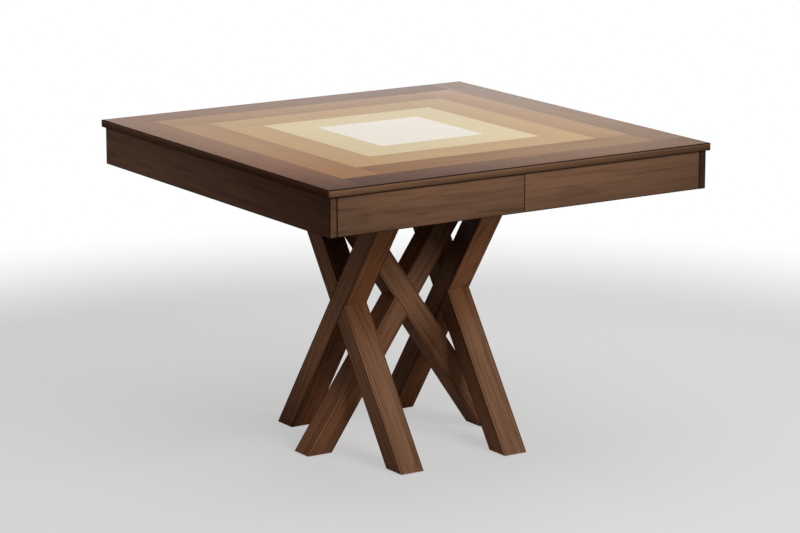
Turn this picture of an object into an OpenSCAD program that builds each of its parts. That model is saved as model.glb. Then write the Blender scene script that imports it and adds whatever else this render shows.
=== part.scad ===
// Square extending dining table on three crossed leg frames.
// The top parts in the middle: its halves slide along X, away from the base.
// A pinion between two racks in each slide moves both halves by the same amount.
// Origin: on the floor under the middle of the top. X is the extending direction,
// -Y is the front and +Z is up.

/* [Top] */
// Side of the square top
top_w = 1073; // [1000:1:1300]
// Height of the top's upper face above the floor
table_h = 772; // [740:1:800]
// Thickness of the top
top_t = 19; // [18:0.5:26]
// Width of the border boards
border_w = 100; // [60:1:120]
// Width of the boards in the frames within the border
board_w = 97; // [60:1:110]
// Thickness of the inlaid boards on the panel
inlay_t = 6; // [4:0.5:7]
// Radius of the rounded edge around the top
edge_r = 5; // [1:0.5:8]
// Radius of the top's four corners, seen from above
corner_r = 6; // [2:0.5:10]
// Gap between the two halves of the top when they are shut
split_gap = 0.3; // [0.3:0.1:1]
// Width of the joint where one board of a frame butts against the next
joint_gap = 0.1; // [0.05:0.05:0.3]
// How far the panel's tongue reaches into the border boards
tongue_l = 8; // [4:1:14]
// Thickness of the panel's tongue
tongue_t = 5; // [3:0.5:6]
// Gap between the tongue and its groove
tongue_play = 0.1; // [0.05:0.05:0.3]

/* [Apron] */
// Height of the apron boards
apron_h = 92; // [84:1:130]
// Thickness of the apron boards
apron_t = 19; // [15:1:25]
// How far the top stands out over the apron
overhang = 9; // [3:1:25]
// Gap between the apron boards at the parting of the halves
apron_gap = 1.4; // [0.6:0.2:3]
// Radius of the eased edges of the apron boards
apron_arris = 1.5; // [0.5:0.25:3]
// Length of the corner blocks along each apron board
block_leg = 46; // [30:1:60]
// Height of the corner blocks
block_h = 72; // [40:1:80]
// Width of the blunt ends of the corner blocks
block_flat = 8; // [4:1:16]

/* [Leg frames] */
// Width of a leg in the plane of its frame
leg_w = 57; // [45:1:68]
// Thickness of a leg across its frame
leg_t = 65; // [50:1:78]
// Radius of the eased long edges of the legs
leg_arris = 3; // [1:0.5:6]
// Distance at the floor between the middles of a frame's two feet
foot_spread = 508; // [420:1:600]
// Height at which the two legs of a frame cross
cross_h = 366; // [330:1:400]
// Distance between the middles of the left and the right leg frame
frame_gap = 300; // [272:1:316]
// Diameter of the floor glides
glide_d = 38; // [20:1:45]
// Thickness of the floor glides
glide_t = 2; // [1.5:0.5:6]

/* [Base cleats] */
// Thickness of the cleats on the leg frames
cleat_t = 24; // [20:1:30]
// Width of the cleats
cleat_w = 65; // [55:1:72]
// How far the side cleats reach past the middles of the slides
side_cleat_past = 45; // [30:1:80]
// How far the middle cleat reaches past the heads of its legs
middle_cleat_past = 24; // [10:1:50]
// Height of the bevel at the ends of the cleats
cleat_bevel = 14; // [6:1:16]

/* [Slides] */
// Distance of each slide's middle from the inner face of the side apron
slide_inset = 208.5; // [190:0.5:240]
// Gap between the ends of the rails and the end aprons
rail_end_gap = 38.5; // [10:0.5:60]
// Height of the outer rails
rail_h = 42; // [40:1:48]
// Width of the outer rails
outer_rail_w = 32; // [26:1:40]
// Travel of each half of the top
travel = 305; // [150:1:360]
// Side gap between neighbouring rails
rail_gap = 0.5; // [0.3:0.1:1]
// Gap under the outer rails, over the centre rail and where a rail runs under the other half
rail_lift = 1; // [0.5:0.25:2]
// Depth of the dovetail tongues on the centre rail
dovetail_d = 6.5; // [5:0.5:8]
// Height of the dovetail tongues at their root
dovetail_root = 8; // [6:0.5:10]
// Height of the dovetail tongues at their face
dovetail_face = 13; // [11:0.5:14]
// Height of the dovetail tongues' middle above the foot of the outer rails
dovetail_z = 11; // [9:0.5:12]
// Running clearance around the dovetail tongues
dovetail_play = 0.3; // [0.2:0.05:0.5]
// Diameter of the stop pins
stop_d = 6; // [4:0.5:7]
// How far a stop pin reaches into the centre rail's groove
stop_reach = 6; // [4:0.5:8]
// Clearance of the stop pins in their grooves
stop_play = 0.3; // [0.2:0.1:0.6]
// Distance of the stop pins from the end of their rail
stop_inset = 15; // [8:1:30]

/* [Rack and pinion] */
// Gear module: pitch diameter over number of teeth
gear_module = 2; // [1.8:0.1:2.2]
// Half the number of teeth on the pinion, because it meshes with a rack on each side
tooth_pairs = 9; // [9:1:12]
// Pressure angle of the teeth
pressure_angle = 20; // [20:0.5:25]
// Play between the meshing teeth
backlash = 0.2; // [0.1:0.05:0.3]
// Thickness of the pinion
pinion_t = 7; // [5:0.5:7.5]
// Gap above and below the pinion in the centre rail
pinion_play = 0.5; // [0.3:0.1:1]
// Height of the racks
rack_h = 8; // [8:0.5:9]
// Thickness of the racks behind their teeth
rack_back = 3.5; // [2.5:0.5:5]
// Height of the racks' middle above the foot of the outer rails
rack_z = 29; // [27:0.5:30]
// Number of rack teeth past the pinion at each end of the travel
lead_teeth = 4; // [3:1:8]
// Diameter of the pinions' shafts
shaft_d = 6; // [5:0.5:8]
// Radial running clearance of turning pieces on their pins
running_play = 0.05; // [0.02:0.01:0.1]

/* [Locks] */
// Distance of each lock from the inner face of the side apron
lock_inset = 108.5; // [95:0.5:115]
// Distance of the lock's pivot and of its strike pin from the parting
lock_x = 28; // [24:1:34]
// Length of the lock's plates along the parting
lock_plate_l = 50; // [40:1:60]
// Width of the plate that carries the lever
lock_plate_w = 40; // [30:1:46]
// Width of the strike's plate
strike_w = 34; // [28:1:46]
// Thickness of the lock's plates
lock_plate_t = 2; // [1.5:0.5:3]
// Radius of the plates' corners
plate_r = 4; // [1:0.5:6]
// Thickness of the lock lever
lever_t = 3; // [2:0.5:4]
// Width of the lock lever's arm
lever_w = 16; // [12:1:20]
// Length of the lever's arm past its hook
lever_past = 24; // [16:1:32]
// Gaps above and below the lever
lever_play = 0.5; // [0.2:0.1:0.8]
// Clearance of the strike pin in the lever's hook
hook_play = 0.4; // [0.2:0.1:0.8]
// Diameter of the lock's pivot and strike pin
lock_pin_d = 6; // [5:0.5:8]
// Diameter of the heads of the pivot and the strike pin
lock_head_d = 11; // [10:0.5:14]
// Thickness of the heads of the pivot and the strike pin
lock_head_t = 1.5; // [1:0.5:3]
// Depth of the lever's finger tab
tab_h = 14; // [8:1:20]
// Thickness of the lever's finger tab
tab_t = 3; // [2:0.5:4]

/* [Alignment pins] */
// Distance of the outer alignment pins from the edge of the panel
align_inset = 86.5; // [40:0.5:250]
// Diameter of the alignment pins
align_d = 8; // [6:0.5:9]
// Length of an alignment pin inside its own half
align_held = 25; // [15:1:35]
// Length of an alignment pin beyond the parting
align_reach = 12; // [8:1:20]
// Clearance around and beyond an alignment pin in its socket
align_play = 0.1; // [0.05:0.05:0.3]
// Length of the taper at the tip of the alignment pins
align_taper = 3; // [1:0.5:6]

/* [Fasteners] */
// Diameter of the leg bolts
bolt_d = 8; // [6:0.5:10]
// Length of the leg bolts in the legs
bolt_grip = 50; // [30:1:60]
// Distance between the two bolts of a leg
bolt_gap = 32; // [26:1:36]
// Thickness of the bolts' heads
bolt_head_t = 5.5; // [4:0.5:7]
// Thickness of the bolts' washers
washer_t = 1.5; // [1:0.5:2.5]
// Diameter of the screws in the slides
screw_d = 4.5; // [3:0.5:5]
// Length of screw thread in the piece that it holds
screw_grip = 9; // [6:0.5:10]
// Diameter of the screw heads
screw_head_d = 8.5; // [7:0.5:10]
// Thickness of the screw heads
screw_head_t = 3; // [2:0.5:4]
// Distance of the first screw of a rail from the parting
screw_first = 60; // [45:1:100]
// Distance of the last screw of a rail from the edge of the panel
screw_last = 40; // [15:1:80]
// Radial gap between a fastener and its hole
hole_play = 0.1; // [0.05:0.05:0.2]

/* [Hidden] */

$fn = 48;
// Overlap of cutting shapes past the faces that they cut
cut = 1;

WALNUT = "#6b4a35";
DARK_WALNUT = "#4c3527";
CHERRY = "#a9774f";
OAK = "#c39b6d";
ASH = "#dccb9f";
MAPLE = "#ece3d6";
POPLAR = "#c7b48c";
STEEL = "#9a9da1";
NYLON = "#e6e2d6";

// Top and apron
top_half = top_w / 2;
core_half = top_half - border_w;
centre_half = core_half - 3 * board_w;
under_z = table_h - top_t;
core_t = top_t - inlay_t;
core_z = under_z + core_t;
core_mid_z = under_z + core_t / 2;
align_y = core_half - align_inset;
split_x = split_gap / 2;
apron_half = top_half - overhang;
apron_in = apron_half - apron_t;
apron_z = under_z - apron_h;

// Rack and pinion, which set the width of the centre rail
pinion_teeth = 2 * tooth_pairs;
pitch_r = gear_module * tooth_pairs;
base_r = pitch_r * cos(pressure_angle);
tip_r = pitch_r + gear_module;
root_depth = 1.25 * gear_module;
tooth_pitch = PI * gear_module;
rack_teeth = ceil(travel / tooth_pitch) + 2 * lead_teeth;
rack_low_x = -lead_teeth * tooth_pitch;
rack_high_x = rack_low_x + rack_teeth * tooth_pitch;
rack_back_y = pitch_r + root_depth + rack_back;

// Slides
slide_y = apron_in - slide_inset;
rail_half_l = apron_in - rail_end_gap;
rail_z = under_z - rail_h;
inner_y = pitch_r - gear_module;
outer_y = inner_y + outer_rail_w;
centre_rail_half = inner_y - rail_gap;
centre_rail_z = rail_z - rail_lift;
centre_rail_top = under_z - rail_lift;
dovetail_tip_y = centre_rail_half + dovetail_d;
tongue_z = rail_z + dovetail_z;
pinion_z = rail_z + rack_z;
stop_x = rail_half_l - stop_inset;
stop_foot_y = outer_y - 4;
shaft_z = centre_rail_z + 3;
screw_y = (rack_back_y + outer_y) / 2;
screw_xs = [for (i = [0:2]) screw_first + i * (core_half - screw_last - screw_first) / 2];

// Cleats and legs
leg_top = centre_rail_z - cleat_t;
lean = atan(foot_spread / 2 / cross_h);
leg_span = leg_w / cos(lean);
head_x = (leg_top - cross_h) * tan(lean);
bolt_x = head_x - leg_span / 4;
bolt_seat_z = centre_rail_z - bolt_head_t - washer_t - 0.5;
rail_screw_seat_z = leg_top + screw_head_t + 4;

// Locks
lock_y = apron_in - lock_inset;
lever_r = 2 * lock_x;
hook_r = lock_pin_d / 2 + hook_play;
hook_wall = 7;
plate_z = under_z - lock_plate_t;
lever_z = plate_z - lever_play - lever_t;
lock_head_z = lever_z - lever_play - lock_head_t;

// A rectangle with round corners, centred on the origin
module round_rect(w, d, r) {
    square([w - 2 * r, d], center = true);
    square([w, d - 2 * r], center = true);
    for (x = [-1, 1], y = [-1, 1])
        translate([x * (w / 2 - r), y * (d / 2 - r)])
            circle(r);
}

// Extrudes a section drawn in Y and Z along X, from x0 to x1
module along_x(x0, x1) {
    translate([x0, 0, 0])
        rotate([90, 0, 90])
            linear_extrude(x1 - x0)
                children();
}

// Extrudes a section drawn in X and Z along Y, from y0 to y1
module along_y(y0, y1) {
    translate([0, y1, 0])
        rotate([90, 0, 0])
            linear_extrude(y1 - y0)
                children();
}

// A block given by its lowest and highest corner
module block(low, high) {
    translate(low)
        cube(high - low);
}

// Moves a piece from the middle of the table to the front or the rear slide
module at_slide(side) {
    translate([0, side * slide_y, 0])
        children();
}

// A piece is drawn for the right half's side of a slide, and turned round for the left half
module of_half(half) {
    rotate([0, 0, half > 0 ? 0 : 180])
        children();
}

// The whole top as one slab with rounded edges and corners
module slab() {
    intersection() {
        along_x(-top_half, top_half)
            translate([0, under_z + top_t / 2])
                round_rect(top_w, top_t, edge_r);
        along_y(-top_half, top_half)
            translate([0, under_z + top_t / 2])
                round_rect(top_w, top_t, edge_r);
        translate([0, 0, under_z])
            linear_extrude(top_t)
                round_rect(top_w, top_w, corner_r);
    }
}

// Half the outer side of a nested frame. ring counts from the border inwards, from 0.
function frame_half(ring) = ring == 0 ? top_half : core_half - (ring - 1) * board_w;

// One board of a nested frame on the left half, from z0 to z1. Each board covers one corner
// of its frame and butts against the next board.
module left_frame_board(ring, side, z0, z1) {
    h = frame_half(ring);
    in = frame_half(ring + 1);
    butt = in - joint_gap;
    if (side == "end")
        block([-h, -h, z0], [-in, butt, z1]);
    if (side == "front")
        block([-butt, -h, z0], [-split_x, -in, z1]);
    if (side == "back")
        block([-h, in, z0], [-split_x, h, z1]);
}

// The frames look the same after half a turn, which swaps front and back on the right half
module frame_board(ring, side, half, z0, z1) {
    turned_side = side == "front" ? "back" : side == "back" ? "front" : "end";
    if (half < 0)
        left_frame_board(ring, side, z0, z1);
    else
        rotate([0, 0, 180])
            left_frame_board(ring, turned_side, z0, z1);
}

// The core panel's tongue, or with play the groove for it
module panel_tongue(play) {
    h = core_half + tongue_l + play;
    t = tongue_t / 2 + play;
    block([-h, -h, core_mid_z - t], [h, h, core_mid_z + t]);
}

module border_board(side, half) {
    color(WALNUT)
        difference() {
            intersection() {
                slab();
                frame_board(0, side, half, under_z, table_h);
            }
            panel_tongue(tongue_play);
        }
}

module ring_boards(ring, half, tone) {
    color(tone)
        for (side = ["end", "front", "back"])
            frame_board(ring, side, half, core_z, table_h);
}

module centre_board(half) {
    color(MAPLE)
        of_half(half)
            block([split_x, -centre_half, core_z], [centre_half, centre_half, table_h]);
}

// Pilot holes in the panel for the screws of the rails
module panel_screw_holes(half) {
    for (side = [-1, 1])
        at_slide(side)
            of_half(half)
                for (x = screw_xs)
                    translate([x, -screw_y, under_z - cut])
                        cylinder(h = screw_grip + 1 + cut, r = screw_d / 2);
}

// The left panel holds the alignment pins and the right one has their sockets
module core_panel(half) {
    far = core_half + tongue_l;
    held = half < 0 ? align_held : align_reach + 2;
    play = half < 0 ? 0 : align_play;
    color(POPLAR)
        difference() {
            intersection() {
                union() {
                    block([-core_half, -core_half, under_z], [core_half, core_half, core_z]);
                    panel_tongue(0);
                }
                of_half(half)
                    block([split_x, -far, under_z], [far, far, core_z]);
            }
            for (y = [-align_y, 0, align_y])
                translate([0, y, core_mid_z])
                    rotate([0, half * 90, 0])
                        cylinder(h = held, r = align_d / 2 + play);
            panel_screw_holes(half);
        }
}

module alignment_pins() {
    straight = align_held + align_reach - align_taper;
    color(STEEL)
        for (y = [-align_y, 0, align_y])
            translate([-align_held, y, core_mid_z])
                rotate([0, 90, 0]) {
                    cylinder(h = straight, r = align_d / 2);
                    translate([0, 0, straight])
                        cylinder(h = align_taper, r1 = align_d / 2, r2 = align_d / 3);
                }
}

// Section of an apron board: square above, eased at its two lower edges
module apron_section() {
    translate([-apron_t / 2, 2 * apron_arris])
        square([apron_t, apron_h - 2 * apron_arris]);
    translate([0, 2 * apron_arris])
        round_rect(apron_t, 4 * apron_arris, apron_arris);
}

module end_apron(half) {
    color(DARK_WALNUT)
        translate([half * (apron_half - apron_t / 2), 0, apron_z])
            intersection() {
                along_y(-apron_half, apron_half)
                    apron_section();
                linear_extrude(apron_h)
                    round_rect(apron_t, 2 * apron_half, apron_arris);
            }
}

module side_apron(half, side) {
    l = apron_in - apron_gap / 2;
    color(WALNUT)
        translate([half * (apron_in - l / 2), side * (apron_half - apron_t / 2), apron_z])
            intersection() {
                along_x(-l / 2, l / 2)
                    apron_section();
                linear_extrude(apron_h)
                    round_rect(l, apron_t, apron_arris);
            }
}

module corner_blocks(half) {
    color(POPLAR)
        for (turn = [0, 90])
            of_half(half)
                rotate([0, 0, turn - 90])
                    translate([apron_in, apron_in, under_z - block_h])
                        linear_extrude(block_h)
                            polygon([
                                [0, 0],
                                [-block_leg, 0],
                                [-block_leg, -block_flat],
                                [-block_flat, -block_leg],
                                [0, -block_leg]
                            ]);
}

// Half the height of the dovetail tongue at the distance y from the slide's middle
function tongue_half(y) =
    dovetail_root / 2
    + (y - centre_rail_half) * (dovetail_face - dovetail_root) / 2 / dovetail_d;

module centre_rail(side) {
    w = centre_rail_half;
    root_half = tongue_half(w);
    face_half = tongue_half(dovetail_tip_y);
    right_edge = [
        [w, centre_rail_z], [w, tongue_z - root_half],
        [dovetail_tip_y, tongue_z - face_half], [dovetail_tip_y, tongue_z + face_half],
        [w, tongue_z + root_half], [w, centre_rail_top]
    ];
    left_edge = [for (i = [len(right_edge) - 1 : -1 : 0]) [-right_edge[i].x, right_edge[i].y]];
    pocket = [2 * tip_r + 4, 2 * w + cut, pinion_t + 2 * pinion_play];
    groove_half = stop_d / 2 + stop_play;
    groove_x = stop_x - travel - groove_half;
    color(POPLAR)
        at_slide(side)
            difference() {
                along_x(-rail_half_l, rail_half_l)
                    polygon(concat(right_edge, left_edge));
                // Pocket that the pinion turns in
                translate([0, 0, pinion_z])
                    cube(pocket, center = true);
                // Stopped grooves for the stop pins, which reach each rail's far end
                for (half = [-1, 1])
                    of_half(half)
                        block([-rail_half_l - cut, -w - cut, pinion_z - groove_half],
                              [-groove_x, -w + stop_reach + stop_play, pinion_z + groove_half]);
                translate([0, 0, shaft_z])
                    cylinder(h = rail_h, r = shaft_d / 2);
                // Pilot holes for the screws that come up through the cleats
                for (x = [-1, 1], dx = [-1, 1])
                    translate([(x * frame_gap + dx * bolt_gap) / 2, 0, centre_rail_z - cut])
                        cylinder(h = screw_grip + 1 + cut, r = screw_d / 2);
            }
}

module slide_rail(half, side) {
    tip_y = dovetail_tip_y + dovetail_play;
    mouth_half = tongue_half(inner_y) + dovetail_play;
    floor_half = tongue_half(tip_y) + dovetail_play;
    color(POPLAR)
        at_slide(side)
            of_half(half)
                difference() {
                    along_x(-rail_half_l, rail_half_l)
                        polygon([
                            [-inner_y, rail_z], [-inner_y, tongue_z - mouth_half],
                            [-tip_y, tongue_z - floor_half], [-tip_y, tongue_z + floor_half],
                            [-inner_y, tongue_z + mouth_half], [-inner_y, under_z],
                            [-outer_y, under_z], [-outer_y, rail_z]
                        ]);
                    // Lowered where it runs under the other half of the top
                    block([-rail_half_l - cut, -outer_y - cut, under_z - rail_lift],
                          [0, -inner_y + cut, under_z + cut]);
                    // Recess that holds the rack
                    block([-rack_high_x, -rack_back_y, pinion_z - rack_h / 2],
                          [-rack_low_x, -inner_y + cut, pinion_z + rack_h / 2]);
                    translate([-stop_x, -inner_y + cut, pinion_z])
                        rotate([90, 0, 0])
                            cylinder(h = stop_foot_y - inner_y + cut, r = stop_d / 2);
                    for (x = screw_xs)
                        translate([x, -screw_y, rail_z - cut]) {
                            cylinder(h = rail_h + 2 * cut, r = screw_d / 2);
                            cylinder(h = rail_h / 2 + cut, r = screw_head_d / 2 + 0.5);
                        }
                }
}

module slide_screws(half) {
    color(STEEL)
        for (side = [-1, 1])
            at_slide(side)
                of_half(half)
                    for (x = screw_xs)
                        translate([x, -screw_y, rail_z + rail_h / 2]) {
                            translate([0, 0, -screw_head_t])
                                cylinder(h = screw_head_t, r = screw_head_d / 2);
                            cylinder(h = rail_h / 2 + screw_grip, r = screw_d / 2 - hole_play);
                        }
}

module stop_pins(half) {
    tip_y = centre_rail_half - stop_reach;
    color(STEEL)
        for (side = [-1, 1])
            at_slide(side)
                of_half(half)
                    translate([-stop_x, -tip_y, pinion_z])
                        rotate([90, 0, 0])
                            cylinder(h = stop_foot_y - tip_y, r = stop_d / 2);
}

// Outline of a rack. Its spaces lie at whole pitches from the pinion's middle.
module rack_outline() {
    slope = tan(pressure_angle);
    root_y = pitch_r + root_depth;
    tip_half = tooth_pitch / 4 - gear_module * slope - backlash / 4;
    root_half = tooth_pitch / 4 + root_depth * slope - backlash / 4;
    polygon(concat(
        [[-rack_high_x, -rack_back_y], [-rack_high_x, -root_y]],
        [for (i = [1 : rack_teeth])
            let (x = -rack_high_x + (i - 0.5) * tooth_pitch)
            each [
                [x - root_half, -root_y], [x - tip_half, -inner_y],
                [x + tip_half, -inner_y], [x + root_half, -root_y]
            ]],
        [[-rack_low_x, -root_y], [-rack_low_x, -rack_back_y]]
    ));
}

module rack(half, side) {
    color(STEEL)
        at_slide(side)
            of_half(half)
                translate([0, 0, pinion_z - rack_h / 2])
                    linear_extrude(rack_h)
                        rack_outline();
}

// The involute function of an angle, in degrees
function involute(a) = tan(a) * 180 / PI - a;

// Angle between the middle of a pinion's tooth and its flank at the radius r
function flank_angle(r) =
    90 / pinion_teeth - backlash / 4 / pitch_r * 180 / PI + involute(pressure_angle)
    - involute(acos(min(1, base_r / r)));

// One flank from the root to the tip. hand is -1 or 1, and a is the angle of the tooth's middle.
function flank_points(a, hand) =
    let (root_r = pitch_r - root_depth, steps = 6)
    concat(
        [root_r * [cos(a + hand * flank_angle(base_r)), sin(a + hand * flank_angle(base_r))]],
        [for (i = [0 : steps])
            let (r = base_r + (tip_r - base_r) * i / steps)
            r * [cos(a + hand * flank_angle(r)), sin(a + hand * flank_angle(r))]]
    );

function turned_back(list) = [for (i = [len(list) - 1 : -1 : 0]) list[i]];

module pinion(side) {
    color(NYLON)
        at_slide(side)
            translate([0, 0, pinion_z - pinion_t / 2])
                linear_extrude(pinion_t)
                    difference() {
                        polygon([
                            for (i = [0 : pinion_teeth - 1])
                                let (a = 90 + i * 360 / pinion_teeth)
                                each concat(flank_points(a, -1), turned_back(flank_points(a, 1)))
                        ]);
                        circle(shaft_d / 2 + running_play);
                    }
}

module pinion_shafts() {
    color(STEEL)
        for (side = [-1, 1])
            at_slide(side)
                translate([0, 0, shaft_z])
                    cylinder(h = centre_rail_top - 1 - shaft_z, r = shaft_d / 2);
}

// Cleat along X, bevelled underneath at both ends
module cleat_bar(half_l) {
    slope = 2 * cleat_bevel;
    along_y(-cleat_w / 2, cleat_w / 2)
        polygon([
            [-half_l, centre_rail_z], [-half_l, leg_top + cleat_bevel],
            [-half_l + slope, leg_top], [half_l - slope, leg_top],
            [half_l, leg_top + cleat_bevel], [half_l, centre_rail_z]
        ]);
}

// Sets what belongs to one leg frame, drawn along X, on all three leg frames
module on_leg_frames() {
    children();
    for (x = [-frame_gap / 2, frame_gap / 2])
        translate([x, 0, 0])
            rotate([0, 0, 90])
                children();
}

// Counterbored holes for the bolts of all the leg frames
module bolt_holes() {
    on_leg_frames()
        for (x = [-bolt_x, bolt_x], y = [-1, 1])
            translate([x, y * bolt_gap / 2, 0]) {
                translate([0, 0, leg_top - cut])
                    cylinder(h = cleat_t + 2 * cut, r = bolt_d / 2 + hole_play);
                translate([0, 0, bolt_seat_z])
                    cylinder(h = cleat_t, r = bolt_d + 1);
            }
}

module side_cleat(half) {
    lap = cleat_w / 2;
    color(POPLAR)
        difference() {
            translate([half * frame_gap / 2, 0, 0])
                rotate([0, 0, 90])
                    difference() {
                        cleat_bar(slide_y + side_cleat_past);
                        // Upper half of the lap with the middle cleat
                        block([-lap, -lap - cut, leg_top + cleat_t / 2],
                              [lap, lap + cut, centre_rail_z + cut]);
                        for (x = [-1, 1], y = [-1, 1])
                            translate([x * slide_y, y * bolt_gap / 2, leg_top - cut]) {
                                cylinder(h = cleat_t + 2 * cut, r = screw_d / 2 + hole_play);
                                cylinder(h = rail_screw_seat_z - leg_top + cut,
                                         r = screw_head_d / 2 + 0.5);
                            }
                    }
            bolt_holes();
        }
}

module middle_cleat() {
    lap = cleat_w / 2;
    color(POPLAR)
        difference() {
            cleat_bar(head_x + leg_span / 2 + middle_cleat_past);
            bolt_holes();
            // Lower half of the laps with the side cleats
            for (x = [-frame_gap / 2, frame_gap / 2])
                block([x - lap, -lap - cut, leg_top - cut],
                      [x + lap, lap + cut, leg_top + cleat_t / 2]);
        }
}

module rail_screws() {
    color(STEEL)
        for (x = [-1, 1], y = [-slide_y, slide_y], dx = [-1, 1])
            translate([(x * frame_gap + dx * bolt_gap) / 2, y, rail_screw_seat_z]) {
                translate([0, 0, -screw_head_t])
                    cylinder(h = screw_head_t, r = screw_head_d / 2);
                cylinder(h = centre_rail_z - rail_screw_seat_z + screw_grip, r = screw_d / 2 - hole_play);
            }
}

// Bolts of one leg frame, along X: shank, washer and hexagon head
module frame_bolts() {
    shank = bolt_seat_z - leg_top + bolt_grip;
    for (x = [-bolt_x, bolt_x], y = [-1, 1])
        translate([x, y * bolt_gap / 2, leg_top - bolt_grip]) {
            cylinder(h = shank, r = bolt_d / 2);
            translate([0, 0, shank])
                cylinder(h = washer_t, r = bolt_d);
            translate([0, 0, shank])
                cylinder(h = washer_t + bolt_head_t, r = 0.93 * bolt_d, $fn = 6);
        }
}

module leg_bolts() {
    color(STEEL)
        on_leg_frames()
            frame_bolts();
}

// A leg in a frame along X. Its head leans to the side that up gives, and the face that
// lap gives is cut away over half its thickness, where the other leg crosses it.
module leg(up, lap) {
    long = 2 * table_h;
    difference() {
        intersection() {
            translate([0, 0, cross_h])
                rotate([0, up * lean, 0])
                    translate([0, 0, -long / 2])
                        linear_extrude(long)
                            round_rect(leg_w, leg_t, leg_arris);
            block([-top_half, -leg_t, glide_t], [top_half, leg_t, leg_top]);
        }
        translate([0, 0, cross_h])
            rotate([0, -up * lean, 0])
                translate([0, lap * leg_t / 2, 0])
                    cube([leg_w, leg_t, long], center = true);
        for (y = [-1, 1])
            translate([up * bolt_x, y * bolt_gap / 2, leg_top - bolt_grip - 2])
                cylinder(h = bolt_grip + 2 + cut, r = bolt_d / 2 + hole_play);
    }
}

// A leg of the left or the right frame, which stand along Y
module side_leg(half, up, lap) {
    color(WALNUT)
        translate([half * frame_gap / 2, 0, 0])
            rotate([0, 0, 90])
                leg(up, lap);
}

module middle_leg(up, lap) {
    color(WALNUT)
        leg(up, lap);
}

module floor_glides() {
    foot = foot_spread / 2 - glide_t * tan(lean);
    spots = [
        for (s = [-foot, foot])
            each [[s, 0], [-frame_gap / 2, s], [frame_gap / 2, s]]
    ];
    color(NYLON)
        for (spot = spots)
            translate([spot.x, spot.y, 0])
                cylinder(h = glide_t, r = glide_d / 2);
}

// Places a lock's piece at the front or the rear. The two locks are mirror images.
module at_lock(side) {
    mirror([0, side > 0 ? 1 : 0, 0])
        translate([0, -lock_y, 0])
            children();
}

module lock_plates() {
    color(STEEL)
        for (side = [-1, 1])
            at_lock(side)
                translate([-lock_x, 0, plate_z])
                    linear_extrude(lock_plate_t)
                        difference() {
                            round_rect(lock_plate_w, lock_plate_l, plate_r);
                            circle(lock_pin_d / 2);
                        }
}

// A pin with a head below, from the head up to top_z
module headed_pin(top_z) {
    translate([0, 0, lock_head_z]) {
        cylinder(h = top_z - lock_head_z, r = lock_pin_d / 2);
        cylinder(h = lock_head_t, r = lock_head_d / 2);
    }
}

module lock_pivots() {
    color(STEEL)
        for (side = [-1, 1])
            at_lock(side)
                translate([-lock_x, 0, 0])
                    headed_pin(under_z);
}

module lock_strikes() {
    color(STEEL)
        for (side = [-1, 1])
            at_lock(side)
                translate([lock_x, 0, 0]) {
                    translate([0, 0, plate_z])
                        linear_extrude(lock_plate_t)
                            round_rect(strike_w, lock_plate_l, plate_r);
                    headed_pin(under_z);
                }
}

// Lever outline, pointing along +X from its pivot as when it is locked
module lever_outline() {
    difference() {
        union() {
            circle(lever_w / 2 + 3);
            translate([0, -lever_w / 2])
                square([lever_r + lever_past, lever_w]);
            translate([lever_r, 0])
                circle(hook_r + hook_wall);
        }
        circle(lock_pin_d / 2 + running_play);
        translate([lever_r, 0])
            circle(hook_r);
        // Curved slot that the strike pin follows into the hook
        intersection() {
            difference() {
                circle(lever_r + hook_r, $fn = 96);
                circle(lever_r - hook_r, $fn = 96);
            }
            square(2 * lever_r);
        }
    }
}

module lock_lever(side) {
    color(STEEL)
        at_lock(side)
            translate([-lock_x, 0, lever_z])
                rotate([0, 0, -90]) {
                    linear_extrude(lever_t)
                        lever_outline();
                    translate([lever_r + lever_past - tab_t, -lever_w / 2, -tab_h])
                        cube([tab_t, lever_w, tab_h + lever_t]);
                }
}

core_panel(-1);  // left_core_panel
core_panel(1);  // right_core_panel
border_board("end", -1);  // left_end_border
border_board("front", -1);  // left_front_border
border_board("back", -1);  // left_back_border
border_board("end", 1);  // right_end_border
border_board("front", 1);  // right_front_border
border_board("back", 1);  // right_back_border
ring_boards(1, -1, CHERRY);  // left_outer_frame_boards
ring_boards(1, 1, CHERRY);  // right_outer_frame_boards
ring_boards(2, -1, OAK);  // left_middle_frame_boards
ring_boards(2, 1, OAK);  // right_middle_frame_boards
ring_boards(3, -1, ASH);  // left_inner_frame_boards
ring_boards(3, 1, ASH);  // right_inner_frame_boards
centre_board(-1);  // left_centre_board
centre_board(1);  // right_centre_board
end_apron(-1);  // left_end_apron
side_apron(-1, -1);  // left_front_apron
side_apron(-1, 1);  // left_back_apron
end_apron(1);  // right_end_apron
side_apron(1, -1);  // right_front_apron
side_apron(1, 1);  // right_back_apron
corner_blocks(-1);  // left_corner_blocks
corner_blocks(1);  // right_corner_blocks
slide_rail(-1, -1);  // left_front_slide_rail
slide_rail(-1, 1);  // left_rear_slide_rail
slide_rail(1, -1);  // right_front_slide_rail
slide_rail(1, 1);  // right_rear_slide_rail
centre_rail(-1);  // front_centre_rail
centre_rail(1);  // rear_centre_rail
rack(-1, -1);  // left_front_rack
rack(-1, 1);  // left_rear_rack
rack(1, -1);  // right_front_rack
rack(1, 1);  // right_rear_rack
pinion(-1);  // front_pinion
pinion(1);  // rear_pinion
pinion_shafts();
stop_pins(-1);  // left_stop_pins
stop_pins(1);  // right_stop_pins
slide_screws(-1);  // left_slide_screws
slide_screws(1);  // right_slide_screws
side_cleat(-1);  // left_base_cleat
side_cleat(1);  // right_base_cleat
middle_cleat();  // middle_base_cleat
rail_screws();
leg_bolts();
side_leg(-1, 1, 1);  // left_frame_front_leg
side_leg(-1, -1, -1);  // left_frame_back_leg
side_leg(1, 1, 1);  // right_frame_front_leg
side_leg(1, -1, -1);  // right_frame_back_leg
middle_leg(1, -1);  // middle_frame_left_leg
middle_leg(-1, 1);  // middle_frame_right_leg
floor_glides();
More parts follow.
